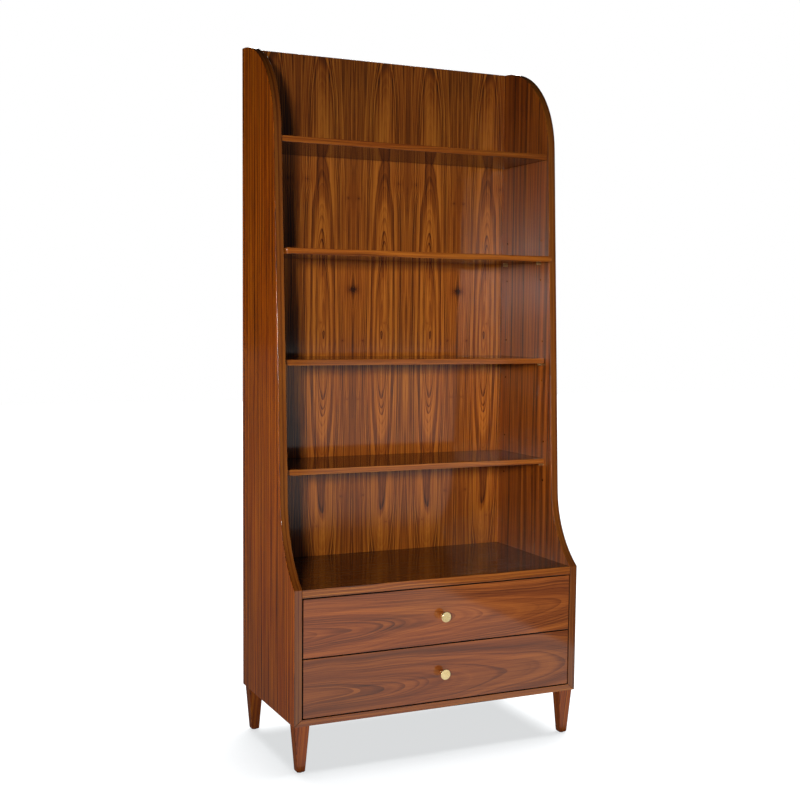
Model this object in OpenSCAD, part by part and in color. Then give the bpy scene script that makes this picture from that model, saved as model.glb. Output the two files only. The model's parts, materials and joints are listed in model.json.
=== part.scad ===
// Bookcase with adjustable shelves on a base with two drawers.
// Millimetres. +X is to the right, the drawers open towards -Y, +Z is up.
// The origin is on the floor, under the middle of the whole piece, knobs included.

/* [Overall] */
// Width across both sides
case_w = 950; // [790:5:1140]
// Height from the floor to the top edge
case_h = 2140; // [1780:5:2570]
// Depth of the drawer base, from its front face to its rear edge
case_d = 474; // [395:1:570]
// Height of the drawer base, without its legs
base_h = 400; // [330:5:480]

/* [Case boards] */
// Thickness of each side
side_t = 25; // [20:1:30]
// Thickness of the base top
deck_t = 25; // [20:1:30]
// Thickness of the base bottom
bottom_t = 20; // [16:1:24]
// Thickness of the back panel
back_t = 6; // [5:1:8]
// Width of the rabbet that takes the back panel
rabbet_w = 12; // [10:1:15]
// Play round the edges of the back panel in its rabbet
back_gap = 0.5; // [0.2:0.1:1]
// Depth of the grooves that take the fixed shelf and the base top
groove_d = 8; // [6:1:10]
// How far behind the front face the groove of the base top stops
groove_stop = 15; // [12:1:20]
// How far below the top face of its board a tongue starts
tongue_shoulder = 6; // [4:1:8]
// Length of a back screw inside the boards
back_screw_in = 14; // [12:1:16]
// Number of screws down each side of the back panel
side_screw_count = 6; // [4:1:9]
// From the ends of the back panel to the nearest of those screws
side_screw_end = 40; // [33:1:48]
// Number of back screws into each level board
board_screw_count = 4; // [3:1:6]
// From a side to the nearest of those screws
board_screw_end = 112; // [93:1:135]

/* [Side outline] */
// Depth of a side at the top, and so the radius of its round corner
top_depth = 294; // [245:1:350]
// Depth at which the straight front edge would meet the base top
low_depth = 366; // [355:1:385]
// Radius of the sweep from the front edge down to the base
sweep_r = 300; // [250:5:360]

/* [Shelves] */
// Thickness of every shelf
shelf_t = 18; // [15:1:22]
// Depth of an adjustable shelf
shelf_d = 290; // [240:1:300]
// Gap between an adjustable shelf and each side
shelf_gap = 2.5; // [1:0.5:4]
// Gap behind the lower, middle and upper shelf, where each one stands
shelf_back_gaps = [12, 1.5, 36];
// Depth of the fixed shelf
fixed_shelf_d = 279; // [235:1:285]
// From the top edge down to the top of the fixed shelf
fixed_shelf_drop = 295; // [240:5:350]

/* [Shelf pins] */
// Radius of a shelf pin
pin_r = 3.175; // [2.5:0.005:4]
// Radial clearance of a pin in its hole
pin_play = 0.075; // [0.05:0.005:0.1]
// Gap between a shelf and the pins it rests on
pin_rest = 0.02; // [0.01:0.01:0.05]
// Depth of a pin hole
pin_hole_d = 12; // [10:0.5:14]
// Length of a pin inside its hole
pin_in = 11; // [9:0.5:12]
// Length of a pin that stands out of the side
pin_out = 15; // [10:0.5:18]
// From the pin that is in use up to the free hole above it
row_up = 75; // [60:1:90]
// From the pin that is in use down to the free hole below it
row_down = 52; // [42:1:63]
// From the front edge of a side back to the front holes
pin_front = 52; // [42:1:63]
// From the back panel forward to the rear holes
pin_rear = 38; // [30:1:46]

/* [Legs] */
// Height from the floor to the bottom of the base
leg_h = 143; // [118:1:172]
// Width of a leg at its top
leg_top_w = 45; // [38:1:54]
// Width of a leg at its foot
leg_foot_w = 25; // [22:1:30]
// Chamfer round the foot
leg_chamfer = 3; // [1:0.5:4]
// Distance from the faces of the base in to a leg
leg_inset = 6; // [4:1:8]
// Radius of a leg bolt
bolt_r = 4; // [3:0.5:5]
// Length of a leg bolt inside the leg
bolt_in_leg = 40; // [30:1:50]
// Length of a threaded insert in the base bottom
insert_len = 12; // [9:0.5:13]
// Wall of a threaded insert
insert_wall = 2; // [1.5:0.5:2.5]
// Radius of a glide
glide_r = 8; // [6:0.5:8.5]
// Height of a glide that stands out of the foot
glide_out = 1.5; // [1:0.5:3]
// Height of a glide inside the foot
glide_in = 2.5; // [2:0.5:4]
// Radius of the stem of a glide
glide_stem_r = 2; // [1.5:0.5:2.5]
// Length of the stem of a glide
glide_stem_h = 10; // [8:1:12]

/* [Drawers] */
// Gap round the drawer fronts
reveal = 3; // [2:0.5:4]
// Thickness of a drawer front
front_t = 20; // [17:1:24]
// Thickness of the drawer box walls
wall_t = 12; // [10:1:15]
// Thickness of the drawer box bottom
floor_t = 6; // [5:0.5:8]
// From the lower edge of a drawer front up to its box
box_lift = 18; // [15:1:22]
// From the upper edge of a drawer front down to its box
box_drop = 25; // [20:1:30]
// From the lower edge of the box up to its bottom panel
floor_lift = 10; // [8:1:12]
// Depth of the grooves and housings inside the box
box_groove = 6; // [5:0.5:7]
// Play of the bottom panel in its grooves
floor_gap = 0.5; // [0.2:0.1:1]
// Space between the box and the back panel
box_rear_gap = 28; // [23:1:34]
// Length of a front screw inside the drawer front
front_screw_in = 12; // [10:1:14]
// From the middle of the drawer to the inner front screws
front_screw_mid = 155; // [130:1:186]
// From the ends of the box to the outer front screws
front_screw_end = 65; // [54:1:78]
// From the lower and upper edges of the box to the front screws
front_screw_edge = 39; // [33:1:40]

/* [Slides] */
// Space between the box and a side, which holds one slide
slide_w = 12.7; // [12.5:0.1:13]
// Height of a slide
slide_h = 45; // [40:1:54]
// Thickness of the steel
slide_steel = 1.5; // [1.2:0.1:1.6]
// Running clearance between the members
slide_play = 0.4; // [0.3:0.05:0.5]
// Gap between the case rail's screw heads and the middle member
head_gap = 0.5; // [0.4:0.1:0.8]
// Gap between the middle member's flanges and the runner's web
web_gap = 0.3; // [0.2:0.1:0.5]
// Gap between the runner's flanges and the middle member's web
runner_gap = 1.2; // [1:0.1:1.5]
// How far the case rail's flanges stop short of the box
rail_gap = 3.2; // [2.7:0.1:3.8]
// From the box's lower edge up to the middle of the slide
slide_lift = 45; // [38:1:54]
// How much shorter than the box a slide is
slide_short = 20; // [16:1:24]
// From the drawer front back to a slide
slide_start = 5; // [4:1:6]
// From the ends of a slide to the nearest of its screws
slide_screw_end = 32; // [26:1:39]

/* [Knobs] */
// Distance a knob stands out of the drawer front
knob_out = 26; // [22:1:31]
// Radius of a knob's face
knob_r = 16; // [13:0.5:19]
// Radius of a knob's neck, where it meets the drawer front
knob_neck_r = 7; // [6:0.5:8.5]
// Length of a knob's neck before it widens
knob_neck_h = 4; // [3:0.5:5]
// Bevel round a knob's face
knob_bevel = 1.5; // [1:0.5:2]
// Radius of a knob screw
knob_screw_r = 2; // [1.5:0.5:2.5]
// Length of a knob screw inside the knob
knob_screw_in = 12; // [10:1:15]
// Radius of a knob screw's head
knob_head_r = 4.5; // [4:0.5:5.5]
// Height of a knob screw's head
knob_head_h = 2.5; // [2:0.5:3]

/* [Wood screws] */
// Radius of a wood screw
screw_r = 1.75; // [1.5:0.05:2]
// Length of a rail screw inside the side
rail_screw_in = 15; // [12:0.5:18]
// Wood left beyond the tip of a runner screw
runner_screw_rest = 3; // [2:0.5:4]
// Radius of a wood screw's head
screw_head_r = 3.5; // [3:0.1:4]
// Height of a low screw head
screw_head_h = 1.2; // [1:0.1:1.3]
// Height of a front screw's head
front_head_h = 2.4; // [2:0.1:2.9]
// Clearance round screws, bolts and inserts
thread_gap = 0.05; // [0.05:0.05:0.1]

/* [Hidden] */
$fn = 48;
arc_fn = 360;
cut = 1;
// Space left beyond the tip of a screw or bolt
tip_gap = 1;
walnut = "#7d4420";
dark_walnut = "#6b3a24";
maple = "#d9bd8c";
brass = "#c9a44c";
steel = "#b9bcc0";
nylon = "#3a3a3c";

// Planes of the case
front_y = (knob_out - case_d) / 2;
rear_y = front_y + case_d;
back_y = rear_y - back_t;
inner_x = case_w / 2 - side_t;
rabbet_x = inner_x + rabbet_w;
deck_z = leg_h + base_h;
bottom_top_z = leg_h + bottom_t;
fixed_shelf_z = case_h - fixed_shelf_drop;
bay_h = (fixed_shelf_z - deck_z) / 4;
left_and_right = [-1, 1];
front_and_rear = [-1, 1];

// Outline of a side, as points (y, z): the straight front edge leans back from low_point
// and touches the round corner, and the sweep touches it and ends at the base's front edge
corner_c = [rear_y, case_h - top_depth];
low_point = [rear_y - low_depth, deck_z];
base_corner = [front_y, deck_z];
to_corner = corner_c - low_point;
lean = atan2(to_corner[1], to_corner[0]) + asin(top_depth / norm(to_corner));
lean_dir = [cos(lean), sin(lean)];
lean_out = [-sin(lean), cos(lean)];
corner_touch = low_point + lean_dir * sqrt(to_corner * to_corner - pow(top_depth, 2));
sweep_start = low_point + sweep_r * lean_out - base_corner;
sweep_along = -sweep_start * lean_dir
    + sqrt(pow(sweep_start * lean_dir, 2) - sweep_start * sweep_start + pow(sweep_r, 2));
sweep_touch = low_point + sweep_along * lean_dir;
sweep_c = sweep_touch + sweep_r * lean_out;
// How far the pieces of the outline run into each other
lap = 10;

function shelf_top(i) = deck_z + bay_h * i;
function pin_z(i) = shelf_top(i) - shelf_t - pin_rest - pin_r;
function edge_y(z) = low_point[0] + (z - deck_z) / tan(lean);
function front_pin_y(i) = edge_y(pin_z(i)) + pin_front;
rear_pin_y = back_y - pin_rear;
pin_rows = [0, row_up, -row_down];

// Legs stand under the corners of the base
leg_x = case_w / 2 - leg_inset - leg_top_w / 2;
leg_y = case_d / 2 - leg_inset - leg_top_w / 2;
case_mid_y = (front_y + rear_y) / 2;
bolt_in_insert = insert_len - tip_gap;
insert_r = bolt_r + insert_wall;

// Drawers: the opening is shared by two fronts
drawer_h = (base_h - bottom_t - deck_t - 3 * reveal) / 2;
front_w = 2 * (inner_x - reveal);
box_w = 2 * (inner_x - slide_w);
box_h = drawer_h - box_lift - box_drop;
box_y = front_y + front_t;
box_d = back_y - box_rear_gap - box_y;
slide_len = box_d - slide_short;
slide_y = box_y + slide_start;
screw_ys = [
    slide_y + slide_screw_end, slide_y + slide_len / 2, slide_y + slide_len - slide_screw_end,
];
function drawer_z(i) = bottom_top_z + reveal + i * (drawer_h + reveal);
function box_z(i) = drawer_z(i) + box_lift;
function slide_z(i) = box_z(i) + slide_lift;
function knob_z(i) = drawer_z(i) + drawer_h / 2;

// Front screws hold a drawer front to its box
front_screw_xs = [
    for (side = left_and_right, x = [front_screw_mid, box_w / 2 - front_screw_end]) side * x
];
front_screw_len = wall_t + front_screw_in;

// Screws that hold the back panel: down both sides, and into each level board
back_screw_len = back_t + back_screw_in;
back_screw_side_x = inner_x + rabbet_w / 2;
side_screw_zs = spread(leg_h + side_screw_end, case_h - side_screw_end, side_screw_count);
board_screw_xs = spread(-inner_x + board_screw_end, inner_x - board_screw_end, board_screw_count);
board_screw_zs = [deck_z - deck_t / 2, fixed_shelf_z - shelf_t / 2];

// Places spread evenly from one to another
function spread(from, to, count) = [
    for (i = [0:count - 1]) from + i * (to - from) / (count - 1)
];

// A box between two corners
module block(low, high) {
    translate(low) cube(high - low);
}

// Something drawn as (y, z), stretched along X
module along_x(x0, x1) {
    translate([x0, 0, 0]) rotate([90, 0, 90]) linear_extrude(x1 - x0) children();
}

// Something drawn as (x, z), stretched along Y
module along_y(y0, y1) {
    translate([0, y1, 0]) rotate([90, 0, 0]) linear_extrude(y1 - y0) children();
}

// A round bar along X, from one place to another
module bar_x(x0, x1, r) {
    translate([min(x0, x1), 0, 0]) rotate([0, 90, 0]) cylinder(r = r, h = abs(x1 - x0));
}

// A round bar along Y, from one place to another
module bar_y(y0, y1, r) {
    translate([0, y1, 0]) rotate([90, 0, 0]) cylinder(r = r, h = y1 - y0);
}

module side_outline() {
    difference() {
        union() {
            translate([front_y, leg_h]) square([case_d, base_h]);
            polygon([
                [rear_y, deck_z - lap], corner_c, corner_touch,
                low_point, [low_point[0], deck_z - lap],
            ]);
            intersection() {
                translate(corner_c) circle(r = top_depth, $fn = arc_fn);
                translate([rear_y - top_depth, corner_c[1]]) square(top_depth);
            }
            polygon([
                base_corner, [front_y, deck_z - lap], [low_point[0] + lap, deck_z - lap],
                [sweep_touch[0] + lap, sweep_touch[1]], sweep_touch,
            ]);
        }
        translate(sweep_c) circle(r = sweep_r, $fn = arc_fn);
    }
}

module back_pocket() {
    block([-rabbet_x, back_y, bottom_top_z - rabbet_w], [rabbet_x, rear_y + cut, case_h + cut]);
}

module back_screw_places() {
    for (side = left_and_right, z = side_screw_zs) translate([side * back_screw_side_x, 0, z])
        children();
    for (x = board_screw_xs, z = board_screw_zs) translate([x, 0, z]) children();
}

// All pin holes of one side: three rows and two columns round each adjustable shelf
module pin_holes(side) {
    for (i = [1:3], row = pin_rows, y = [front_pin_y(i), rear_pin_y])
        translate([0, y, pin_z(i) + row])
            bar_x(side * (inner_x - cut), side * (inner_x + pin_hole_d), pin_r + pin_play);
}

module side_panel(side) {
    outer = side * case_w / 2;
    inner = side * inner_x;
    color(walnut) difference() {
        along_x(min(inner, outer), max(inner, outer)) side_outline();
        along_y(front_y - cut, rear_y + cut)
            polygon([[outer, leg_h], [inner, bottom_top_z], [inner, leg_h - cut],
                [outer, leg_h - cut]]);
        back_pocket();
        base_top_tongue();
        fixed_shelf_tongue();
        pin_holes(side);
        back_screw_places() bar_y(back_y - back_screw_len, rear_y, screw_r + thread_gap);
        for (i = [0, 1]) case_rail_screw_places(i, side)
            bar_x(0, side * (rail_screw_in + tip_gap), screw_r + thread_gap);
    }
}

// The tongues run through the boards and into the grooves of both sides
module fixed_shelf_tongue() {
    block([-inner_x - groove_d, back_y - fixed_shelf_d, fixed_shelf_z - shelf_t],
        [inner_x + groove_d, back_y, fixed_shelf_z - tongue_shoulder]);
}

module base_top_tongue() {
    block([-inner_x - groove_d, front_y + groove_stop, deck_z - deck_t],
        [inner_x + groove_d, back_y, deck_z - tongue_shoulder]);
}

module back_panel() {
    color(walnut) difference() {
        block([-rabbet_x + back_gap, back_y, bottom_top_z - rabbet_w + back_gap],
            [rabbet_x - back_gap, rear_y, case_h]);
        back_screw_places() back_screw(thread_gap);
    }
}

module back_panel_screws() {
    color(steel) back_screw_places() back_screw(0);
}

// A countersunk screw, driven from the rear
module back_screw(gap) {
    head_h = screw_head_r - screw_r;
    bar_y(rear_y - back_screw_len - gap, rear_y, screw_r + gap);
    translate([0, rear_y, 0]) rotate([90, 0, 0])
        cylinder(r1 = screw_head_r + gap, r2 = screw_r + gap, h = head_h);
}

module fixed_shelf() {
    color(walnut) difference() {
        union() {
            block([-inner_x, back_y - fixed_shelf_d, fixed_shelf_z - shelf_t],
                [inner_x, back_y, fixed_shelf_z]);
            fixed_shelf_tongue();
        }
        back_screw_places() back_screw(thread_gap);
    }
}

module base_top() {
    color(dark_walnut) difference() {
        union() {
            block([-inner_x, front_y, deck_z - deck_t], [inner_x, back_y, deck_z]);
            base_top_tongue();
        }
        back_screw_places() back_screw(thread_gap);
    }
}

// The base bottom meets both sides in a mitre and takes the threaded inserts of the legs
module base_bottom() {
    outer = case_w / 2;
    color(walnut) difference() {
        along_y(front_y, rear_y) polygon([[-outer, leg_h], [outer, leg_h],
            [inner_x, bottom_top_z], [-inner_x, bottom_top_z]]);
        back_pocket();
        leg_places() translate([0, 0, leg_h - cut])
            cylinder(r = insert_r + thread_gap, h = insert_len + cut);
    }
}

module leg_places() {
    for (side = left_and_right, end = front_and_rear) leg_place(side, end) children();
}

module leg_place(side, end) {
    translate([side * leg_x, case_mid_y + end * leg_y, 0]) children();
}

// One view of a tapered leg, drawn round its middle
module leg_view() {
    top = leg_top_w / 2;
    foot = leg_foot_w / 2;
    slope = (top - foot) / (leg_h - glide_out);
    polygon([
        [-top, leg_h], [-foot - slope * leg_chamfer, glide_out + leg_chamfer],
        [-foot + leg_chamfer, glide_out], [foot - leg_chamfer, glide_out],
        [foot + slope * leg_chamfer, glide_out + leg_chamfer], [top, leg_h],
    ]);
}

module leg(side, end) {
    color(walnut) leg_place(side, end) difference() {
        intersection() {
            along_x(-leg_top_w, leg_top_w) leg_view();
            along_y(-leg_top_w, leg_top_w) leg_view();
        }
        translate([0, 0, leg_h - bolt_in_leg - cut])
            cylinder(r = bolt_r + thread_gap, h = bolt_in_leg + 2 * cut);
        translate([0, 0, glide_out - cut])
            cylinder(r = glide_r + thread_gap, h = glide_in + cut);
        translate([0, 0, glide_out])
            cylinder(r = glide_stem_r + thread_gap, h = glide_in + glide_stem_h + cut);
    }
}

module leg_bolts() {
    color(steel) leg_places() translate([0, 0, leg_h - bolt_in_leg])
        cylinder(r = bolt_r, h = bolt_in_leg + bolt_in_insert);
}

module leg_inserts() {
    color(brass) leg_places() translate([0, 0, leg_h]) difference() {
        cylinder(r = insert_r, h = insert_len);
        translate([0, 0, -cut]) cylinder(r = bolt_r + thread_gap, h = insert_len + 2 * cut);
    }
}

module leg_glides() {
    color(nylon) leg_places() {
        cylinder(r = glide_r, h = glide_out + glide_in);
        cylinder(r = glide_stem_r, h = glide_out + glide_in + glide_stem_h);
    }
}

// Adjustable shelf i, counted from the base
module shelf(i) {
    shelf_rear = back_y - shelf_back_gaps[i - 1];
    color(walnut) block([-inner_x + shelf_gap, shelf_rear - shelf_d, shelf_top(i) - shelf_t],
        [inner_x - shelf_gap, shelf_rear, shelf_top(i)]);
}

module shelf_pins(i) {
    color(brass) for (side = left_and_right, y = [front_pin_y(i), rear_pin_y])
        translate([0, y, pin_z(i)])
            bar_x(side * (inner_x - pin_out), side * (inner_x + pin_in), pin_r);
}

// Drawer 0 is the lower one and drawer 1 the upper one
module drawer_front(i) {
    color(dark_walnut) difference() {
        block([-front_w / 2, front_y, drawer_z(i)],
            [front_w / 2, box_y, drawer_z(i) + drawer_h]);
        knob_hole(i);
        front_screw_holes(i);
    }
}

module knob_hole(i) {
    translate([0, 0, knob_z(i)])
        bar_y(front_y - cut, box_y + wall_t + cut, knob_screw_r + thread_gap);
}

module front_screw_places(i) {
    for (x = front_screw_xs, z = [front_screw_edge, box_h - front_screw_edge])
        translate([x, box_y + wall_t, box_z(i) + z]) children();
}

module front_screw_holes(i) {
    front_screw_places(i) bar_y(-front_screw_len, cut, screw_r + thread_gap);
}

module drawer_front_screws(i) {
    color(steel) front_screw_places(i) {
        bar_y(-front_screw_len, 0, screw_r);
        bar_y(0, front_head_h, screw_head_r);
    }
}

// The space inside the four walls of box i
module box_inside(i, grow, low, high) {
    block([-box_w / 2 + wall_t - grow, box_y + wall_t - grow, low],
        [box_w / 2 - wall_t + grow, box_y + box_d - wall_t + grow, high]);
}

module floor_groove(i) {
    low = box_z(i) + floor_lift;
    box_inside(i, box_groove, low, low + floor_t);
}

// A front or back wall of the box: its ends are housed in the side walls
module cross_wall(i, y) {
    block([-box_w / 2 + wall_t - box_groove, y, box_z(i)],
        [box_w / 2 - wall_t + box_groove, y + wall_t, box_z(i) + box_h]);
}

module drawer_box_front(i) {
    color(maple) difference() {
        cross_wall(i, box_y);
        floor_groove(i);
        knob_hole(i);
        front_screw_holes(i);
    }
}

module drawer_back_wall(i) {
    color(maple) difference() {
        cross_wall(i, box_y + box_d - wall_t);
        floor_groove(i);
    }
}

module drawer_side_wall(i, side) {
    inner = side * (box_w / 2 - wall_t);
    outer = side * box_w / 2;
    color(maple) difference() {
        block([min(inner, outer), box_y, box_z(i)],
            [max(inner, outer), box_y + box_d, box_z(i) + box_h]);
        cross_wall(i, box_y);
        cross_wall(i, box_y + box_d - wall_t);
        floor_groove(i);
        runner_screw_places(i, side)
            bar_x(0, -side * (runner_screw_in + tip_gap), screw_r + thread_gap);
    }
}

module drawer_bottom(i) {
    low = box_z(i) + floor_lift;
    color(maple) box_inside(i, box_groove - floor_gap, low, low + floor_t);
}

module drawer_knob(i) {
    color(brass) translate([0, front_y, knob_z(i)]) rotate([90, 0, 0]) difference() {
        rotate_extrude() polygon([
            [0, 0], [knob_neck_r, 0], [knob_neck_r, knob_neck_h],
            [knob_r, knob_out - knob_bevel], [knob_r - knob_bevel, knob_out], [0, knob_out],
        ]);
        translate([0, 0, -cut])
            cylinder(r = knob_screw_r + thread_gap, h = knob_screw_in + 2 * cut);
    }
}

module drawer_knob_screw(i) {
    seat_y = box_y + wall_t;
    color(steel) translate([0, 0, knob_z(i)]) {
        bar_y(front_y - knob_screw_in, seat_y, knob_screw_r);
        bar_y(seat_y, seat_y + knob_head_h, knob_head_r);
    }
}

// A steel channel along Y with its web at x0, open towards x1
module channel(x0, x1, h, side) {
    web = x0 + sign(x1 - x0) * slide_steel;
    along_y(slide_y, slide_y + slide_len) scale([side, 1]) difference() {
        translate([min(x0, x1), -h / 2]) square([abs(x1 - x0), h]);
        translate([min(web, x1 + sign(x1 - x0)), slide_steel - h / 2])
            square([abs(x1 + sign(x1 - x0) - web), h - 2 * slide_steel]);
    }
}

// Heights of the nested slide members, and the reach of their flanges from the side
middle_h = slide_h - 2 * (slide_steel + slide_play);
runner_h = middle_h - 2 * (slide_steel + slide_play);
middle_off = slide_steel + screw_head_h + head_gap;
rail_reach = slide_w - rail_gap;
middle_reach = slide_w - slide_steel - web_gap;
runner_reach = middle_off + slide_steel + runner_gap;
runner_screw_in = wall_t - runner_screw_rest;

module case_rails(i) {
    color(steel) for (side = left_and_right) difference() {
        translate([0, 0, slide_z(i)]) channel(inner_x, inner_x - rail_reach, slide_h, side);
        case_rail_screw_places(i, side)
            bar_x(-side * (slide_steel + cut), side * cut, screw_r + thread_gap);
    }
}

module case_rail_screw_places(i, side) {
    for (y = screw_ys) translate([side * inner_x, y, slide_z(i)]) children();
}

module case_rail_screws(i) {
    color(steel) for (side = left_and_right) case_rail_screw_places(i, side) {
        bar_x(-side * slide_steel, side * rail_screw_in, screw_r);
        bar_x(-side * (slide_steel + screw_head_h), -side * slide_steel, screw_head_r);
    }
}

module slide_middle_members(i) {
    color(steel) for (side = left_and_right) translate([0, 0, slide_z(i)])
        channel(inner_x - middle_off, inner_x - middle_reach, middle_h, side);
}

module drawer_runners(i) {
    color(steel) for (side = left_and_right) difference() {
        translate([0, 0, slide_z(i)])
            channel(inner_x - slide_w, inner_x - runner_reach, runner_h, side);
        runner_screw_places(i, side)
            bar_x(-side * cut, side * (slide_steel + cut), screw_r + thread_gap);
    }
}

module runner_screw_places(i, side) {
    for (y = screw_ys) translate([side * box_w / 2, y, slide_z(i)]) children();
}

module drawer_runner_screws(i) {
    color(steel) for (side = left_and_right) runner_screw_places(i, side) {
        bar_x(side * slide_steel, -side * runner_screw_in, screw_r);
        bar_x(side * slide_steel, side * (slide_steel + screw_head_h), screw_head_r);
    }
}

side_panel(-1);  // left_side
side_panel(1);  // right_side
back_panel();
back_panel_screws();
fixed_shelf();
base_top();
base_bottom();
leg(-1, -1);  // front_left_leg
leg(1, -1);  // front_right_leg
leg(-1, 1);  // rear_left_leg
leg(1, 1);  // rear_right_leg
leg_bolts();
leg_inserts();
leg_glides();
shelf(1);  // lower_shelf
shelf(2);  // middle_shelf
shelf(3);  // upper_shelf
shelf_pins(1);  // lower_shelf_pins
shelf_pins(2);  // middle_shelf_pins
shelf_pins(3);  // upper_shelf_pins
drawer_front(0);  // lower_drawer_front
drawer_box_front(0);  // lower_drawer_box_front
drawer_side_wall(0, -1);  // lower_drawer_left_wall
drawer_side_wall(0, 1);  // lower_drawer_right_wall
drawer_back_wall(0);  // lower_drawer_back_wall
drawer_bottom(0);  // lower_drawer_bottom
drawer_knob(0);  // lower_drawer_knob
drawer_knob_screw(0);  // lower_drawer_knob_screw
drawer_front_screws(0);  // lower_drawer_front_screws
drawer_runners(0);  // lower_drawer_runners
drawer_runner_screws(0);  // lower_drawer_runner_screws
slide_middle_members(0);  // lower_slide_middle_members
case_rails(0);  // lower_case_rails
case_rail_screws(0);  // lower_case_rail_screws
drawer_front(1);  // upper_drawer_front
drawer_box_front(1);  // upper_drawer_box_front
drawer_side_wall(1, -1);  // upper_drawer_left_wall
drawer_side_wall(1, 1);  // upper_drawer_right_wall
drawer_back_wall(1);  // upper_drawer_back_wall
drawer_bottom(1);  // upper_drawer_bottom
drawer_knob(1);  // upper_drawer_knob
drawer_knob_screw(1);  // upper_drawer_knob_screw
drawer_front_screws(1);  // upper_drawer_front_screws
drawer_runners(1);  // upper_drawer_runners
drawer_runner_screws(1);  // upper_drawer_runner_screws
slide_middle_members(1);  // upper_slide_middle_members
case_rails(1);  // upper_case_rails
case_rail_screws(1);  // upper_case_rail_screws
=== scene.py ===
"""Bookcase with adjustable shelves: the looks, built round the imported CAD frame.

Every CAD board and screw is replaced by a piece with rounded edges and a procedural finish.
Lengths are metres in the frame's axes: x to the right, -y to the front, z up.
"""

import json
import math

import bmesh
import bpy
from mathutils import Matrix, Vector


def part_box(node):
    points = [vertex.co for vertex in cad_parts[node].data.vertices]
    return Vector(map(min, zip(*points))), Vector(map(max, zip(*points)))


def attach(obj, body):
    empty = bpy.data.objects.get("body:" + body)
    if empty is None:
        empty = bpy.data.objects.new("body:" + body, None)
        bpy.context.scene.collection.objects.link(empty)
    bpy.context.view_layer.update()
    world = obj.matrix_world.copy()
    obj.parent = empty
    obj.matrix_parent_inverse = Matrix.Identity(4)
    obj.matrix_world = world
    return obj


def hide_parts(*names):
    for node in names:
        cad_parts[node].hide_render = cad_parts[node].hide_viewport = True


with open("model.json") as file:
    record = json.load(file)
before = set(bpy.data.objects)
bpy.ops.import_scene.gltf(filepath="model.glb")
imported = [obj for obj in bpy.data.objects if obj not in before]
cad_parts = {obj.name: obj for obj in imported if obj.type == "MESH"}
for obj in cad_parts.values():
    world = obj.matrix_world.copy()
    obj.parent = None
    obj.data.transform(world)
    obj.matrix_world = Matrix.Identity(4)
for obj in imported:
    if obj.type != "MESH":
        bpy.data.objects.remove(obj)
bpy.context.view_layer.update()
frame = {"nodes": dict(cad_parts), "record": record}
nodes = frame["nodes"]
scene = bpy.context.scene
BODY = {n: b for b, ns in frame["record"]["behaviour"]["bodies"].items() for n in ns}
SLOT = {s["node"]: s["material_slot"] for s in frame["record"]["subparts"]}

# ---------------------------------------------------------------- camera
CAMERA_PLACE = (-1.6751, -3.4983, 1.3207)
YAW, PITCH, ROLL = 0.43642, -0.08644, 0.00959  # radians; yaw 0 looks along +y
LENS_MM, SENSOR_MM = 55.85, 36
CAMERA_RISE = 0.0313  # lens shift, as a share of the picture
FARTHEST = 60


def place_camera():
    forward = Vector((math.sin(YAW) * math.cos(PITCH), math.cos(YAW) * math.cos(PITCH), math.sin(PITCH)))
    level = forward.cross(Vector((0, 0, 1))).normalized()
    upright = level.cross(forward)
    right = math.cos(ROLL) * level + math.sin(ROLL) * upright
    up = math.cos(ROLL) * upright - math.sin(ROLL) * level
    data = bpy.data.cameras.new("camera")
    data.lens = LENS_MM
    data.sensor_width = SENSOR_MM
    data.shift_y = CAMERA_RISE
    data.clip_end = FARTHEST
    camera = bpy.data.objects.new("camera", data)
    scene.collection.objects.link(camera)
    turn = Matrix((right, up, -forward)).transposed().to_4x4()
    camera.matrix_world = Matrix.Translation(CAMERA_PLACE) @ turn
    scene.camera = camera


place_camera()


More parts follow.
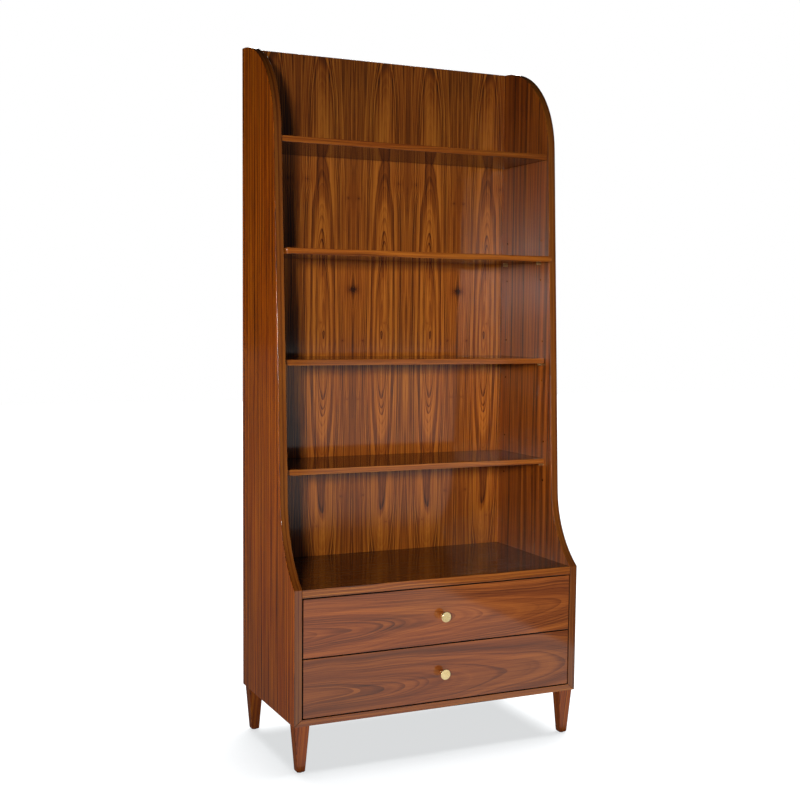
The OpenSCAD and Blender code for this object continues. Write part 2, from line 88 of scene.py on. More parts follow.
# ---------------------------------------------------------------- shader helpers
class Shader:
    """The nodes of one material or of the world, with short calls that make them."""

    def __init__(self, owner):
        self.owner = owner
        owner.use_nodes = True
        self.nodes = owner.node_tree.nodes
        self.links = owner.node_tree.links
        self.nodes.clear()

    def put(self, socket, value):
        if isinstance(value, bpy.types.NodeSocket):
            self.links.new(value, socket)
        else:
            socket.default_value = value

    def axes(self, kind="Object"):
        """Sockets for x, y and z. A piece's object coordinates are metres in the frame."""
        place = self.nodes.new("ShaderNodeTexCoord").outputs[kind]
        split = self.nodes.new("ShaderNodeSeparateXYZ")
        self.links.new(place, split.inputs[0])
        return split.outputs[0], split.outputs[1], split.outputs[2]

    def math(self, operation, *values):
        made = self.nodes.new("ShaderNodeMath")
        made.operation = operation
        for socket, value in zip(made.inputs, values):
            self.put(socket, value)
        return made.outputs[0]

    def add(self, a, b):
        return self.math("ADD", a, b)

    def sub(self, a, b):
        return self.math("SUBTRACT", a, b)

    def mul(self, a, b):
        return self.math("MULTIPLY", a, b)

    def vector(self, x, y, z):
        made = self.nodes.new("ShaderNodeCombineXYZ")
        for socket, value in zip(made.inputs, (x, y, z)):
            self.put(socket, value)
        return made.outputs[0]

    def noise(self, place, detail=2.0, rough=0.5, kind="3D"):
        """Noise at a place: a vector for kind 3D, one value for kind 1D."""
        made = self.nodes.new("ShaderNodeTexNoise")
        made.noise_dimensions = kind
        made.inputs["Scale"].default_value = 1.0
        made.inputs["Detail"].default_value = detail
        made.inputs["Roughness"].default_value = rough
        self.links.new(place, made.inputs["W" if kind == "1D" else "Vector"])
        return made.outputs[0]

    def noise_line(self, place, detail=2.0, rough=0.5):
        return self.noise(place, detail, rough, "1D")

    def swirl(self, value, amount):
        """Noise turned into a push to both sides, amount wide in all."""
        return self.mul(self.sub(value, 0.5), amount)

    def strands(self, across, along, per_metre, offset, detail=2.0, rough=0.5):
        """Noise drawn out along the grain. per_metre is how fast it changes across and along."""
        place = self.vector(self.mul(across, per_metre[0]), offset, self.mul(along, per_metre[1]))
        return self.noise(place, detail, rough)

    def length(self, a, b):
        return self.math("SQRT", self.add(self.mul(a, a), self.mul(b, b)))

    def spread(self, value, low, high, to_low=0.0, to_high=1.0, smooth=False):
        """The value's range low to high, stretched over to_low to to_high."""
        made = self.nodes.new("ShaderNodeMapRange")
        if smooth:
            made.interpolation_type = "SMOOTHSTEP"
        for socket, number in zip(made.inputs, (value, low, high, to_low, to_high)):
            self.put(socket, number)
        return made.outputs[0]

    def ramp(self, value, *stops):
        """A colour for the value. Each stop is a value and its colour."""
        made = self.nodes.new("ShaderNodeValToRGB")
        band = made.color_ramp
        while len(band.elements) < len(stops):
            band.elements.new(0.5)
        for element, (place, colour) in zip(band.elements, stops):
            element.position = place
            element.color = (*colour, 1)
        self.links.new(value, made.inputs[0])
        return made.outputs[0]

    def mix(self, share, a, b, blend="MIX"):
        made = self.nodes.new("ShaderNodeMix")
        made.data_type = "RGBA"
        made.blend_type = blend
        self.put(made.inputs[0], share)
        for socket, value in ((made.inputs[6], a), (made.inputs[7], b)):
            self.put(socket, (*value, 1) if isinstance(value, tuple) else value)
        return made.outputs[2]

    def tint(self, colour, by):
        return self.mix(1.0, colour, by, "MULTIPLY")

    def finish(self, colour, roughness, bump=None, bump_height=0.0, **constants):
        """The material itself. The constants name sockets of the surface, _ for a space."""
        surface = self.nodes.new("ShaderNodeBsdfPrincipled")
        self.put(surface.inputs["Base Color"], colour)
        self.put(surface.inputs["Roughness"], roughness)
        for name, value in constants.items():
            surface.inputs[name.replace("_", " ")].default_value = value
        if bump is not None:
            made = self.nodes.new("ShaderNodeBump")
            made.inputs["Strength"].default_value = 1.0
            made.inputs["Distance"].default_value = bump_height
            self.links.new(bump, made.inputs["Height"])
            self.links.new(made.outputs[0], surface.inputs["Normal"])
        out = self.nodes.new("ShaderNodeOutputMaterial")
        self.links.new(surface.outputs[0], out.inputs[0])
        return self.owner


def new_finish(name):
    return Shader(bpy.data.materials.new(name))


# ---------------------------------------------------------------- walnut
# dark line, middle and pale wood
PLAIN = ((0.050, 0.010, 0.0012), (0.30, 0.062, 0.0025), (0.50, 0.135, 0.010))
ORANGE = ((0.040, 0.008, 0.0004), (0.37, 0.067, 0.0006), (0.56, 0.145, 0.003))
GOLDEN = ((0.028, 0.008, 0.0016), (0.255, 0.061, 0.0045), (0.53, 0.170, 0.016))
PURPLE = ((0.052, 0.013, 0.0035), (0.236, 0.056, 0.0085), (0.47, 0.134, 0.020))
STOPS = (0.02, 0.5, 0.98)  # where on the value those three colours lie
MIDDLE = 0.62  # the value of wood without a mark
WARMER = (1.0, 0.80, 0.85)  # tint of the redder patches
# how much each sort of mark moves the value
BAND_SHARE, STREAK_SHARE, PORE_SHARE, SHADE_SHARE = 1.2, 0.9, 0.22, 1.7
# how fast each sort of mark changes, per metre across and along the grain
FIBRES, PORES, BLOTCHES = (420.0, 5.0), (1100.0, 42.0), (5.5, 2.2)
PORE_DEPTH = 0.00012


def growth_lines(t, ring, lines):
    """Narrow lines that darken slowly and end sharply, strong in some places only."""
    drift = t.mul(t.noise_line(t.mul(ring, 0.2 * lines), 2.0, 0.5), 4.0)
    saw = t.math("FRACT", t.add(t.mul(ring, lines), drift))
    line = t.spread(saw, 0.45, 1.0, 0.0, 1.0, True)
    strength = t.spread(t.noise_line(t.mul(ring, 0.25 * lines), 2.0, 0.6), 0.4, 0.62, 0.1, 1.0)
    return t.mul(line, strength)


def walnut(
    name,
    lay,
    palette=PLAIN,
    tone=1.0,
    seed=0.0,
    contrast=1.0,
    coat=0.9,
    coat_rough=0.1,
    lines=230.0,
    shade=None,
    streaks=(75.0, 1.1),
    line_share=0.6,
    fibre_share=0.8,
):
    """Lacquered walnut.

    lay(t) gives three sockets in metres: the growth-ring distance, the place across the grain
    and the place along it. lines is the number of growth lines in a metre of ring distance, and
    streaks how fast the streaks change across and along. shade(t) gives how much darker the wood
    is, 1 in the heart of a knot. Each sort of mark multiplies the seed by its own number, so that
    no two follow the same noise.
    """
    t = new_finish(name)
    ring, across, along = lay(t)
    shifted = t.add(ring, seed)
    bands = t.noise_line(t.mul(shifted, 0.32 * lines), 3.0, 0.65)
    line = growth_lines(t, shifted, lines)
    fibre = t.strands(across, along, FIBRES, seed * 7.0, 3.0, 0.6)
    streak = t.strands(across, along, streaks, seed * 3.0, 2.0, 0.6)
    pore = t.spread(t.strands(across, along, PORES, seed * 5.0, 1.0, 0.5), 0.66, 0.76, 0.0, 1.0, True)
    value = t.add(t.swirl(bands, BAND_SHARE * contrast), MIDDLE)
    value = t.sub(value, t.mul(line, line_share * contrast))
    value = t.add(value, t.swirl(fibre, fibre_share * contrast))
    value = t.add(value, t.swirl(streak, STREAK_SHARE * fibre_share * contrast))
    value = t.sub(value, t.mul(pore, PORE_SHARE))
    if shade:
        value = t.sub(value, t.mul(shade(t), SHADE_SHARE))
    colour = t.ramp(value, *zip(STOPS, palette))
    blotch = t.strands(across, along, BLOTCHES, seed * 11.0)
    warm = t.spread(blotch, 0.3, 0.7, 0.0, 0.5, True)
    colour = t.mix(warm, colour, t.tint(colour, WARMER))
    colour = t.tint(colour, (tone, tone, tone))
    rough = t.spread(fibre, 0.3, 0.7, 0.42, 0.56)
    height = t.sub(t.mul(fibre, 0.35), pore)
    lacquer = {"Coat_Weight": coat, "Coat_Roughness": coat_rough, "Coat_IOR": 1.5}
    return t.finish(colour, rough, height, PORE_DEPTH, Specular_IOR_Level=0.1, **lacquer)


def wavy(t, across, along, amount):
    """A slow sideways wander of the grain, amount wide in all."""
    return t.add(across, t.swirl(t.strands(across, along, (3.0, 1.6), 0.0), amount))


def upright_grain(across_axes, offset=0.0):
    """Straight grain that stands along z, with the sum of these axes as the place across it."""

    def lay(t):
        axes = t.axes()
        across = axes[across_axes[0]]
        for extra in across_axes[1:]:
            across = t.add(across, axes[extra])
        return wavy(t, t.add(across, offset), axes[2], 0.03), across, axes[2]

    return lay


def level_grain(t):
    """Straight grain that lies along x, on the tops and on the front edges alike."""
    x, y, z = t.axes()
    across = t.add(y, z)
    return wavy(t, across, x, 0.05), across, x


def edge_grain(t):
    """The band round a side's edge: its lines keep to x, so they follow the edge."""
    x, y, z = t.axes()
    along = t.add(y, z)
    return wavy(t, x, along, 0.004), x, along


LEAF = 0.1915  # width of one veneer leaf on the back
SEAM = -0.1025  # a seam between two mirrored leaves
PEAK = 0.108  # from that seam to the middle of a leaf's figure
FIGURE_Z = 1.27  # height at which the figure is tightest
KNOTS = (
    # from the seam, height, size, reach of the swirl, darkness
    (0.002, 1.410, 0.013, 0.030, 1.0),
    (0.019, 1.703, 0.006, 0.018, 0.35),
    (0.160, 1.757, 0.012, 0.022, 0.25),
    (0.112, 1.302, 0.005, 0.014, 0.3),
    (0.036, 1.244, 0.005, 0.012, 0.35),
    (0.019, 1.053, 0.006, 0.015, 0.2),
    (0.040, 0.734, 0.006, 0.018, 0.25),
    (0.125, 0.640, 0.005, 0.014, 0.25),
)


def leaf_place(t):
    """x, z, and how far a point is from the seam on its left or right, which mirrors the leaves."""
    x, _, z = t.axes()
    return x, z, t.math("PINGPONG", t.sub(x, SEAM), LEAF)


def from_knot(t, leaf, z, knot, wide, tall):
    dx = t.math("DIVIDE", t.sub(leaf, knot[0]), wide)
    dz = t.math("DIVIDE", t.sub(z, knot[1]), tall)
    return dx, dz


def matched_grain(t):
    """Book-matched leaves with a tall cathedral figure that flows round small knots."""
    _, z, leaf = leaf_place(t)
    across = t.add(t.sub(leaf, PEAK), t.swirl(t.strands(leaf, z, (6.0, 2.0), 0.0), 0.036))
    across = t.add(across, t.swirl(t.strands(leaf, z, (30.0, 9.0), 2.0), 0.006))
    away = t.math("ABSOLUTE", t.sub(z, FIGURE_Z))
    swell = t.noise_line(t.mul(z, 1.7), 1.0, 0.5)
    depth = t.add(t.mul(away, 0.06), t.mul(swell, 0.024))
    ring = t.length(across, depth)
    for knot in KNOTS:
        size, reach = knot[2:4]
        dx, dz = from_knot(t, leaf, z, knot, reach, 2.0 * reach)
        spot = t.math("EXPONENT", t.mul(t.add(t.mul(dx, dx), t.mul(dz, dz)), -1.0))
        ring = t.add(ring, t.mul(spot, 0.9 * size))
    return ring, leaf, z


def matched_shade(t):
    """How much darker the back is: the ragged hearts of those knots, and the zones of each leaf."""
    x, z, leaf = leaf_place(t)
    ragged = t.strands(x, z, (260.0, 260.0), 0.0, 2.0, 0.6)
    hearts = 0.0
    for knot in KNOTS:
        size, dark = knot[2], knot[4]
        away = t.length(*from_knot(t, leaf, z, knot, 0.8 * size, 0.7 * size))
        hearts = t.add(hearts, t.mul(t.math("EXPONENT", t.mul(away, -1.3)), dark))
    hearts = t.mul(hearts, t.spread(ragged, 0.3, 0.6, 0.3, 1.0))
    # the middle of each leaf's figure is pale, the straight grain beside the seams is dark
    beside = t.spread(t.math("ABSOLUTE", t.sub(leaf, PEAK)), 0.015, 0.080, -0.040, 0.032, True)
    return t.add(hearts, beside)


def drawer_grain(node, lift):
    """A cathedral figure that lies along x on that drawer front, moved up by lift."""
    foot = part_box(node)[0].z

    def lay(t):
        x, _, z = t.axes()
        height = t.sub(z, foot)
        wander = t.strands(x, height, (1.7, 3.5), 90.0 * lift)
        centre = t.add(t.mul(x, 0.03), 0.072 + lift)
        across = t.add(t.sub(height, centre), t.swirl(wander, 0.075))
        swell = t.noise_line(t.add(t.mul(x, 2.6), 3.0 + 90.0 * lift), 1.0, 0.5)
        depth = t.add(t.mul(t.add(x, 0.62), 0.075), t.mul(swell, 0.02))
        return t.length(across, depth), height, x

    return lay


# ---------------------------------------------------------------- other finishes
MAPLE = ((0.3, (0.50, 0.33, 0.17)), (0.55, (0.66, 0.48, 0.28)), (0.75, (0.74, 0.57, 0.36)))


def maple(name, axis):
    """Bare maple with its grain along one axis, 0 for x and 1 for y."""
    t = new_finish(name)
    axes = t.axes()
    along, across = axes[axis], axes[2]
    streak = t.strands(across, along, (60.0, 1.6), 0.0, 3.0, 0.6)
    fibre = t.strands(across, along, (600.0, 9.0), 1.0, 2.0, 0.6)
    value = t.add(t.mul(streak, 0.7), t.mul(fibre, 0.3))
    colour, rough = t.ramp(value, *MAPLE), t.spread(fibre, 0.3, 0.7, 0.45, 0.6)
    return t.finish(colour, rough, fibre, 0.00008, Coat_Weight=0.2, Coat_Roughness=0.4)


def scaled(t, factors):
    """The place, stretched by a factor along each axis."""
    return t.vector(*(t.mul(axis, factor) for axis, factor in zip(t.axes(), factors)))


def metal(name, dark, pale, smoothest, roughest, scratches):
    """Fine scratches along y, so many per metre of x and z, over soft clouds."""
    t = new_finish(name)
    scratch = t.noise(scaled(t, (scratches, 0.1 * scratches, scratches)), 3.0, 0.6)
    cloud = t.noise(scaled(t, (60.0, 60.0, 60.0)))
    colour = t.ramp(t.add(t.mul(scratch, 0.5), t.mul(cloud, 0.5)), (0.3, dark), (0.7, pale))
    rough = t.spread(scratch, 0.3, 0.7, smoothest, roughest)
    return t.finish(colour, rough, scratch, 0.00002, Metallic=1.0)


def nylon():
    t = new_finish("nylon")
    grain = t.noise(scaled(t, (900.0, 900.0, 900.0)))
    colour = t.ramp(grain, (0.3, (0.035, 0.035, 0.037)), (0.7, (0.065, 0.065, 0.067)))
    return t.finish(colour, t.spread(grain, 0.3, 0.7, 0.5, 0.65), grain, 0.00005)


inner_wood = walnut(
    "walnut_inner",
    upright_grain((1,)),
    tone=0.76,
    seed=0.31,
    contrast=1.6,
    lines=170.0,
    coat=0.6,
    coat_rough=0.3,
    fibre_share=1.1,
)
outer_wood = walnut(
    "walnut_outer",
    upright_grain((1,), 0.4),
    ORANGE,
    tone=1.08,
    seed=0.62,
    contrast=1.5,
    lines=330.0,
    coat=0.8,
    coat_rough=0.08,
    fibre_share=1.1,
)
edge_wood = walnut("walnut_edge", edge_grain, GOLDEN, seed=1.7, tone=0.62, lines=330.0)
back_wood = walnut(
    "walnut_back",
    matched_grain,
    GOLDEN,
    tone=0.98,
    seed=0.9,
    lines=300.0,
    shade=matched_shade,
    streaks=(230.0, 2.2),
    line_share=0.5,
    fibre_share=1.3,
)
level_wood = walnut("walnut_level_edge", level_grain, GOLDEN, seed=2.3, tone=0.95)
# painted shade: the tops and undersides of the shelves, deck and base are made darker in their colour
# (tone 0.22 against 0.95 on the edges) for the light that misses them
shaded_top_wood = walnut("walnut_level_face_painted_shade", level_grain, seed=2.3, tone=0.22, coat=0.8, coat_rough=0.06)
leg_wood = walnut(
    "walnut_leg", upright_grain((0, 1)), ORANGE, seed=3.1, tone=0.7, coat=0.5, coat_rough=0.2
)
# painted shade: wood made darker in its colour where shade falls, inside the base, in the gaps round the
# drawers and in the pin holes
base_shade_wood = walnut("walnut_in_base_painted_shade", upright_grain((1,)), seed=0.31, tone=0.12, coat=0.3, coat_rough=0.4)
gap_shade_wood = walnut("walnut_gap_painted_shade", level_grain, seed=2.3, tone=0.03, coat=0.05, coat_rough=0.4)
hole_shade_wood = walnut("walnut_drilled_painted_shade", level_grain, seed=2.9, tone=0.06, coat=0.0)
drawer_wood = {
    which: walnut(
        f"walnut_{which}_drawer",
        drawer_grain(f"{which}_drawer_front", lift),
        PURPLE,
        tone=tone,
        seed=seed,
        contrast=0.85,
        lines=190.0,
        coat_rough=0.07,
        line_share=0.45,
    )
    for which, lift, tone, seed in (("lower", -0.004, 0.86, 4.2), ("upper", 0.012, 1.0, 4.5))
}
maple_x = maple("maple_cross", 0)
maple_y = maple("maple_side", 1)
brass = metal("brass_satin", (0.80, 0.60, 0.26), (0.96, 0.77, 0.42), 0.24, 0.38, 500.0)
steel = metal("zinc_plate", (0.42, 0.43, 0.45), (0.62, 0.63, 0.64), 0.3, 0.48, 300.0)
black = nylon()


# ---------------------------------------------------------------- pieces
SAME_POINT = 2e-6
FLAT_ANGLE = math.radians(0.4)  # faces closer to one plane than this are one face
# how far the arrises are rounded over
SIDE_EASE, BOARD_EASE, LEG_EASE, FRONT_EASE = 0.0016, 0.0012, 0.0015, 0.0011
BOX_EASE, PANEL_EASE, SHEET_EASE = 0.0008, 0.0006, 0.0005
PIN_EASE, GLIDE_EASE, STEEL_EASE = 0.0006, 0.0006, 0.0003


def cad_copy(node):
    """The node's solid as one clean shell of flat faces."""
    bm = bmesh.new()
    bm.from_mesh(nodes[node].data)
    bmesh.ops.remove_doubles(bm, verts=bm.verts, dist=SAME_POINT)
    bmesh.ops.dissolve_limit(bm, angle_limit=FLAT_ANGLE, verts=bm.verts, edges=bm.edges)
    return bm


def arrises(bm, least, angle):
    """Convex edges at least that long and that sharp."""
    return [
        e
        for e in bm.edges
        if len(e.link_faces) == 2
        and e.is_convex
        and e.calc_length() >= least
        and e.calc_face_angle() >= math.radians(angle)
    ]


def piece(bm, node, materials, pick=None, smooth_angle=35):
    """The object that stands in for the node. pick gives the material's number for each face."""
    name = node + "_piece"
    mesh = bpy.data.meshes.new(name)
    if pick:
        for face in bm.faces:
            face.material_index = pick(face)
    for face in bm.faces:
        face.smooth = True
    bm.to_mesh(mesh)
    bm.free()
    mesh.set_sharp_from_angle(angle=math.radians(smooth_angle))
    for material in materials:
        mesh.materials.append(material)
    made = bpy.data.objects.new(name, mesh)
    scene.collection.objects.link(made)
    weighted = made.modifiers.new("flat_faces_stay_flat", "WEIGHTED_NORMAL")
    weighted.keep_sharp = True
    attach(made, BODY[node])
    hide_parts(node)
    return made


def eased(node, materials, ease, least=0.003, angle=40, segments=3, pick=None):
    """The node's solid with its arrises rounded over, where they are long and sharp enough."""
    bm = cad_copy(node)
    bmesh.ops.bevel(
        bm,
        geom=arrises(bm, least, angle),
        offset=ease,
        offset_type="OFFSET",
        segments=segments,
        profile=0.5,
        affect="EDGES",
        clamp_overlap=False,
    )
    return piece(bm, node, materials, pick)


PIN_R = 0.0025
HOLE_SPAN = 0.008  # no face of a drilled hole is wider than this
HOLE_REACH = 0.004  # how far such a face may be from the line of the holes
MOSTLY, NEARLY = 0.7, 0.8  # how much of a face's normal lies along an axis
deck_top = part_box("base_top")[1].z
hole_lines = [end.y + way * PIN_R for end, way in zip(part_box("lower_shelf_pins"), (1, -1))]
SIDE_WOODS = [outer_wood, edge_wood, hole_shade_wood, inner_wood, base_shade_wood]
OUTER, EDGE, DRILLED_SHADE, INNER, IN_BASE_SHADE = range(len(SIDE_WOODS))


def side_wood(face):
    """Which of SIDE_WOODS a face of a side shows."""
    ys, zs = [v.co.y for v in face.verts], [v.co.z for v in face.verts]
    small = max(ys) - min(ys) < HOLE_SPAN and max(zs) - min(zs) < HOLE_SPAN
    middle = (max(ys) + min(ys)) / 2
    # painted shade: the walls of the pin holes are dark
    if small and min(abs(middle - line) for line in hole_lines) < HOLE_REACH:
        return DRILLED_SHADE
    if abs(face.normal.x) < MOSTLY:
        return EDGE
    if face.normal.x * face.calc_center_median().x > 0:
        return OUTER
    # painted shade: the inner faces below the deck are darker
    return IN_BASE_SHADE if max(zs) < deck_top else INNER


def in_gap_shade(face):
    """1 for a drawer front's edges and their rounding, which carry the painted shade of the gaps round
    the drawers, 0 for its face and back.
    """
    return 0 if abs(face.normal.y) > NEARLY else 1


def is_level(face):
    """1 for a shelf's top and underside, which carry the painted shade, 0 for its edges."""
    return 1 if abs(face.normal.z) > MOSTLY else 0


for node in ("left_side", "right_side"):
    eased(node, SIDE_WOODS, SIDE_EASE, pick=side_wood)
eased("back_panel", [back_wood], PANEL_EASE)
for node in ("fixed_shelf", "base_top", "base_bottom", "lower_shelf", "middle_shelf", "upper_shelf"):
    # the boards' tops and undersides take the painted shade
    eased(node, [level_wood, shaded_top_wood], BOARD_EASE, pick=is_level)
for end in ("front", "rear"):
    for side in ("left", "right"):
        eased(f"{end}_{side}_leg", [leg_wood], LEG_EASE)
for which in ("lower", "upper"):
    # the drawer fronts' edges take the painted shade of the gaps
    eased(f"{which}_drawer_front", [drawer_wood[which], gap_shade_wood], FRONT_EASE, pick=in_gap_shade)
    for part in ("box_front", "back_wall"):
        eased(f"{which}_drawer_{part}", [maple_x], BOX_EASE)
    for part in ("left_wall", "right_wall"):
        eased(f"{which}_drawer_{part}", [maple_y], BOX_EASE)
    eased(f"{which}_drawer_bottom", [maple_x], SHEET_EASE)
for which in ("lower", "middle", "upper"):
    eased(f"{which}_shelf_pins", [brass], PIN_EASE, 0.0, 60, 2)


def lathe(node, profile, centre, steps, material):
    """A round piece about the -Y direction: profile holds (distance out, radius)."""
    bm = bmesh.new()
    rings = []
    for out, radius in profile:
        if radius == 0:
            rings.append([bm.verts.new(centre + Vector((0, -out, 0)))])
            continue
        turns = [2 * math.pi * i / steps for i in range(steps)]
        places = [Vector((radius * math.cos(a), -out, radius * math.sin(a))) for a in turns]
        rings.append([bm.verts.new(centre + place) for place in places])
    for a, b in zip(rings, rings[1:]):
        for i in range(steps):
            j = (i + 1) % steps
            corners = [a[i % len(a)], a[j % len(a)], b[j % len(b)], b[i % len(b)]]
            bm.faces.new(list(dict.fromkeys(corners)))
    bmesh.ops.recalc_face_normals(bm, faces=bm.faces)
    return piece(bm, node, [material], smooth_angle=50)


KNOB_STEPS = 64
# distance out and radius along the neck, from the middle of its foot
NECK = ((0.0, 0.0), (0.0, 0.0068), (0.0002, 0.007), (0.004, 0.007), (0.0048, 0.00742))
FLARE_SHORT = (0.002, 0.0006)  # the flare ends this far before the face, and this much narrower
RIM_R = 0.0015
LIP, LIP_FOOT, SUNK = 0.0003, 0.0011, 0.0002  # flat beside the rim, its inner slope, and its height
FACE_RING = 0.006


def knob(node):
    """A straight neck that flares to a wide face with a rounded rim."""
    low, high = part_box(node)
    centre = Vector(((low.x + high.x) / 2, high.y, (low.z + high.z) / 2))
    out, face_r = high.y - low.y, (high.x - low.x) / 2
    neck_out, neck_r = NECK[-1]
    rim = [
        (out - RIM_R + RIM_R * math.sin(a), face_r - RIM_R + RIM_R * math.cos(a))
        for a in [math.radians(15 * i) for i in range(-1, 7)]
    ]
    long, wide = out - FLARE_SHORT[0] - neck_out, face_r - FLARE_SHORT[1] - neck_r
    flare = [(neck_out + long * s, neck_r + wide * s) for s in (0.25, 0.5, 0.75)]
    inner, floor_out = face_r - RIM_R, out - SUNK
    dish = [(out, inner - LIP), (floor_out, inner - LIP_FOOT), (floor_out, FACE_RING), (floor_out, 0.0)]
    lathe(node, [*NECK, *flare, *rim, *dish], centre, KNOB_STEPS, brass)


for which in ("lower", "upper"):
    knob(f"{which}_drawer_knob")

RECESS_DEPTH = 0.0014
# half the cross's length and half its arms' width, as shares of the head's radius
CROSS_REACH, CROSS_ARM = 0.62, 0.17
CROSS_TAPER = 0.8  # the cross's size at its bottom
ROUND, SQUARE_ON, WIDE = 0.93, 0.99, 0.8  # how round, how straight and how wide a head is at least


def screw_heads(bm, axis):
    """The flat round ends along axis that are about as wide as the widest, each after its radius."""
    ends = []
    for face in bm.faces:
        middle = face.calc_center_median()
        radii = [(v.co - middle).length for v in face.verts]
        flat_on = abs(face.normal[axis]) > SQUARE_ON
        if len(radii) > 8 and flat_on and min(radii) > ROUND * max(radii):
            ends.append((max(radii), face))
    widest = max(radius for radius, _ in ends)
    return [(radius, face) for radius, face in ends if radius >= WIDE * widest]


def recessed(node, axis):
    """The node's steel screws, whose heads face along axis, with a cross sunk in each head."""
    bm = cad_copy(node)
    for radius, face in screw_heads(bm, axis):
        middle, normal = face.calc_center_median(), face.normal.copy()
        u = Vector((0, 0, 1))
        w = normal.cross(u)
        long, short = CROSS_REACH * radius, CROSS_ARM * radius
        corners = [(short, long), (-short, long), (-short, short), (-long, short), (-long, -short)]
        corners += [(-short, -short), (-short, -long), (short, -long), (short, -short)]
        corners += [(long, -short), (long, short), (short, short)]
        outward = [u * a + w * b for a, b in corners]
        bottom = middle - normal * RECESS_DEPTH
        brink = [bm.verts.new(middle + way) for way in outward]
        pit = [bm.verts.new(bottom + way * CROSS_TAPER) for way in outward]
        cross = [bm.edges.new((brink[i - 1], brink[i])) for i in range(len(brink))]
        outline = list(face.edges) + cross
        bmesh.ops.delete(bm, geom=[face], context="FACES_ONLY")
        bmesh.ops.triangle_fill(bm, use_beauty=True, use_dissolve=False, edges=outline, normal=normal)
        for i in range(len(brink)):
            bm.faces.new((brink[i - 1], brink[i], pit[i], pit[i - 1]))
        bm.faces.new(pit)
    bmesh.ops.recalc_face_normals(bm, faces=bm.faces)
    return piece(bm, node, [steel], smooth_angle=30)


recessed("back_panel_screws", 1)
for which in ("lower", "upper"):
    recessed(f"{which}_case_rail_screws", 0)
    recessed(f"{which}_drawer_runner_screws", 0)
    recessed(f"{which}_drawer_front_screws", 1)
    recessed(f"{which}_drawer_knob_screw", 1)
    for part in ("case_rails", "drawer_runners", "slide_middle_members"):
        eased(f"{which}_{part}", [steel], STEEL_EASE, 0.004, 60, 2)
eased("leg_glides", [black], GLIDE_EASE, 0.0, 60, 2)

# the CAD solids that no piece replaces
for node, solid in nodes.items():
    if solid.hide_render:
        continue
    solid.data.materials.clear()
    solid.data.materials.append(steel if SLOT[node] == "zinc_steel" else brass)


# ---------------------------------------------------------------- studio
FLOOR_HALF = 15
FLOOR_DROP = 0.0003  # keeps the floor's face clear of the glides' faces
GREYS = ((0.2, (0.29, 0.295, 0.30)), (0.8, (0.31, 0.315, 0.32)))
FLOOR_GLOW = {"Emission_Color": (0.97, 0.99, 1, 1), "Emission_Strength": 0.71}


def floor():
    """A pale floor that the camera sees, and that throws no light of its own on the bookcase."""
    bm = bmesh.new()
    bmesh.ops.create_grid(bm, x_segments=2, y_segments=2, size=FLOOR_HALF)
    bmesh.ops.translate(bm, verts=bm.verts, vec=(0, 0, -FLOOR_DROP))
    mesh = bpy.data.meshes.new("floor")
    bm.to_mesh(mesh)
    bm.free()
    made = bpy.data.objects.new("floor", mesh)
    scene.collection.objects.link(made)
    made.visible_glossy = False
    made.visible_diffuse = False
    t = new_finish("floor_white")
    x, y, _ = t.axes()
    mottle = t.noise(t.vector(t.mul(x, 9.0), t.mul(y, 9.0), 0.0), 3.0, 0.5)
    colour = t.ramp(mottle, *GREYS)
    mesh.materials.append(t.finish(colour, 0.8, Specular_IOR_Level=0.1, **FLOOR_GLOW))
    return made


ground = floor()
only_floor = bpy.data.collections.new("only_floor")
only_floor.objects.link(ground)
not_floor = bpy.data.collections.new("all_but_floor")
not_floor.objects.link(ground)
not_floor.collection_objects[0].light_linking.link_state = "EXCLUDE"

LAMPS = (
    # name, place, what it faces, width and height, watts, spread in degrees
    ("key", (-2.55, -4.05, 1.65), (0.2, 0, 1.15), (0.35, 0.5), 9.3, 38),
    # lies on the floor in front and stands for the light that a pale floor throws back
    ("bounce", (-0.1, -1.635, 0.004), (-0.1, -1.635, 1.0), (2.3, 2.8), 17, 180),
    ("board", (1.6, -3.5, 0.55), (0.4, 0, 0.55), (1.2, 1.1), 2.6, 180),
    ("left", (-3.6, -0.3, 1.3), (0, 0, 1.0), (0.5, 1.6), 27, 180),
    ("rear", (1.7, 4.2, 2.8), (0, 0, 1.0), (2.0, 2.0), 150, 180),
    ("flank", (4.4, 0.9, 1.7), (0, 0, 1.0), (2.6, 2.6), 75, 180),
)


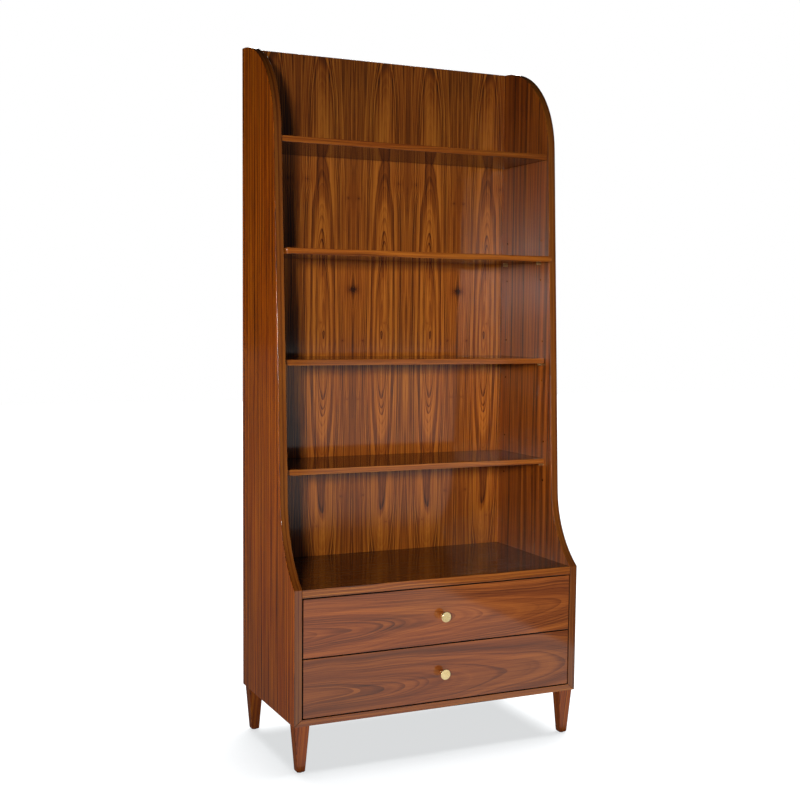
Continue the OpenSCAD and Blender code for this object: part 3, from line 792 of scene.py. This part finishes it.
def lamp(name, place, target, size, watts, spread):
    """A soft lamp for the bookcase alone, which the camera doesn't see."""
    data = bpy.data.lights.new(name, "AREA")
    data.shape = "RECTANGLE"
    data.size, data.size_y = size
    data.energy = watts
    data.spread = math.radians(spread)
    light = bpy.data.objects.new(name, data)
    scene.collection.objects.link(light)
    light.location = place
    light.rotation_euler = (Vector(target) - Vector(place)).to_track_quat("-Z", "Y").to_euler()
    light.light_linking.receiver_collection = not_floor
    light.visible_camera = False


SKY_STRENGTH, SKY_WIDTH, SKY_TILT = 7, math.radians(48), math.radians(12)


def overhead():
    """The wide sky above the floor, which draws the soft shadow on it and lights nothing else."""
    data = bpy.data.lights.new("sky", "SUN")
    data.energy = SKY_STRENGTH
    data.angle = SKY_WIDTH
    light = bpy.data.objects.new("sky", data)
    scene.collection.objects.link(light)
    light.rotation_euler = (-SKY_TILT, SKY_TILT, 0)
    light.light_linking.receiver_collection = only_floor


for settings in LAMPS:
    lamp(*settings)
overhead()

# what the lacquer mirrors: dark behind, dim in front, the pale floor below
DARKEST = 0.006
GLOWS = (
    # axis of the direction, where on it the glow starts and is full, and how strong it is
    (1, 0.0, -1.0, 0.045),
    (2, 0.0, -1.0, 0.18),
    (2, -0.022, -0.03, 0.035),
)


def background(t, strength):
    made = t.nodes.new("ShaderNodeBackground")
    t.put(made.inputs[0], (1, 1, 1, 1))
    t.put(made.inputs[1], strength)
    return made.outputs[0]


def surroundings():
    """White where the camera looks past the bookcase, and the dim room for everything else."""
    world = bpy.data.worlds.new("studio")
    scene.world = world
    t = Shader(world)
    toward = t.axes("Generated")
    glow = DARKEST
    for axis, start, full, strength in GLOWS:
        glow = t.math("MULTIPLY_ADD", t.spread(toward[axis], start, full), strength, glow)
    both = t.nodes.new("ShaderNodeMixShader")
    path = t.nodes.new("ShaderNodeLightPath")
    t.links.new(path.outputs["Is Camera Ray"], both.inputs[0])
    t.links.new(background(t, glow), both.inputs[1])
    t.links.new(background(t, 1.0), both.inputs[2])
    t.links.new(both.outputs[0], t.nodes.new("ShaderNodeOutputWorld").inputs[0])


surroundings()
scene.view_settings.view_transform = "Standard"
scene.view_settings.look = "None"
